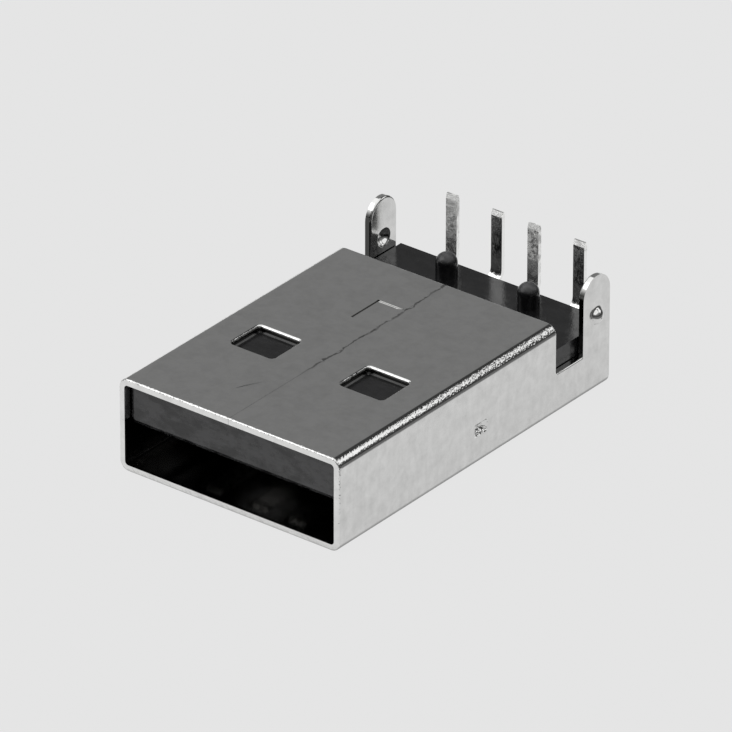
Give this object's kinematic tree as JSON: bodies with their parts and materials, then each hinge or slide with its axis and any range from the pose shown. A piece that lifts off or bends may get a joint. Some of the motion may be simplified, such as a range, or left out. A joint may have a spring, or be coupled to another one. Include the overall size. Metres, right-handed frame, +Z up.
{
  "type": "usb-a plug connector",
  "caption": "Right-angle through-hole plug in a folded metal shell, with a black tongue and board seat, locating pegs, solder legs and bent contact tails.",
  "frame": {"origin": "centre of the footprint, on the surface that the closed face of the shell lies on", "axes": "+X across the plug, +Y from the mouth back to the tails, +Z up, the way the pegs, legs and tails point"},
  "size_m": [0.0126, 0.0202, 0.0058],
  "materials": {
    "nickel_plated_steel": "satin",
    "black_plastic": "gloss",
    "tinned_bronze": "satin"
  },
  "bodies": {
    "root": {"shell": "nickel_plated_steel", "insulator": "black_plastic", "power_contact": "tinned_bronze", "data_minus_contact": "tinned_bronze", "data_plus_contact": "tinned_bronze", "ground_contact": "tinned_bronze"}
  },
  "joints": []
}
